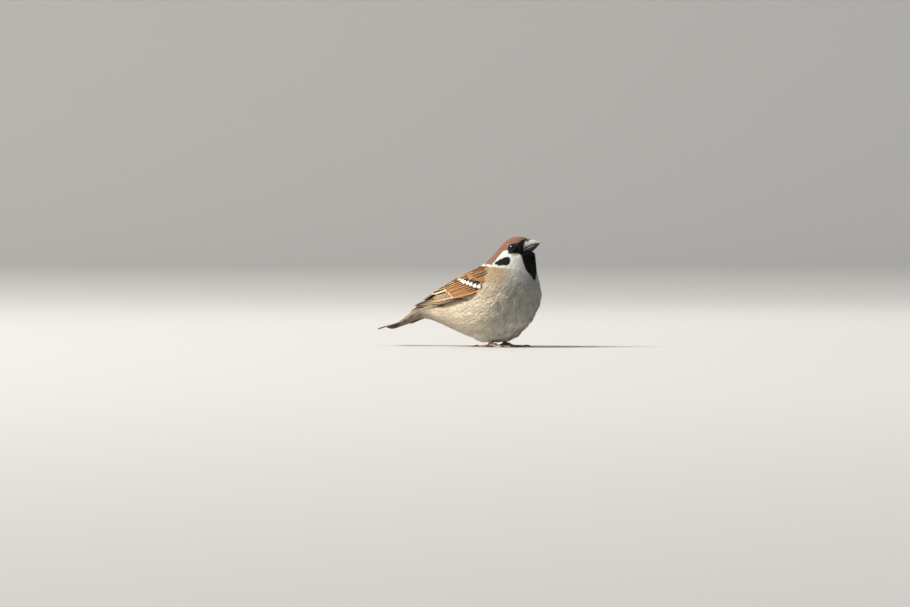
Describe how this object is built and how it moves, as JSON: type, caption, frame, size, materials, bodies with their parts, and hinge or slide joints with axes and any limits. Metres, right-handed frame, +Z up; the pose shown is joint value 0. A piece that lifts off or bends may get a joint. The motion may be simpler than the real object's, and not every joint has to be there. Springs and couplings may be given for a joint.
{
  "type": "tree sparrow",
  "caption": "Life-size still model of an adult tree sparrow, fluffed up and sitting on flat feet with its bill raised.",
  "frame": {"origin": "on the ground under the middle of the bird's bounding box", "axes": "+X is forward, the way the bill points, +Y is the bird's left, +Z is up"},
  "size_m": [0.1258, 0.0486, 0.0759],
  "materials": {
    "crown": "soft matte feathers, chestnut brown",
    "collar": "soft matte feathers, white with black marks",
    "body": "soft matte feathers, grey white to warm buff",
    "wings": "smooth feathers, chestnut with black centres and pale edges",
    "tail": "smooth feathers, dark brown with buff edges",
    "eyes": "wet gloss, near black",
    "bill": "satin horn, slate black, paler towards the cutting edge",
    "feet": "dry scaly skin, pinkish brown",
    "claws": "satin horn, dark brown"
  },
  "bodies": {
    "root": {"bill_lower": "bill", "bill_upper": "bill", "claw_hind_left": "claws", "claw_hind_right": "claws", "claw_inner_left": "claws", "claw_inner_right": "claws", "claw_middle_left": "claws", "claw_middle_right": "claws", "claw_outer_left": "claws", "claw_outer_right": "claws", "eye_left": "eyes", "eye_right": "eyes", "head": "crown", "neck": "collar", "shank_left": "feet", "shank_right": "feet", "tail": "tail", "thigh_left": "body", "thigh_right": "body", "toe_hind_left": "feet", "toe_hind_right": "feet", "toe_inner_left": "feet", "toe_inner_right": "feet", "toe_middle_left": "feet", "toe_middle_right": "feet", "toe_outer_left": "feet", "toe_outer_right": "feet", "trunk": "body", "wing_left": "wings", "wing_right": "wings"}
  },
  "joints": []
}
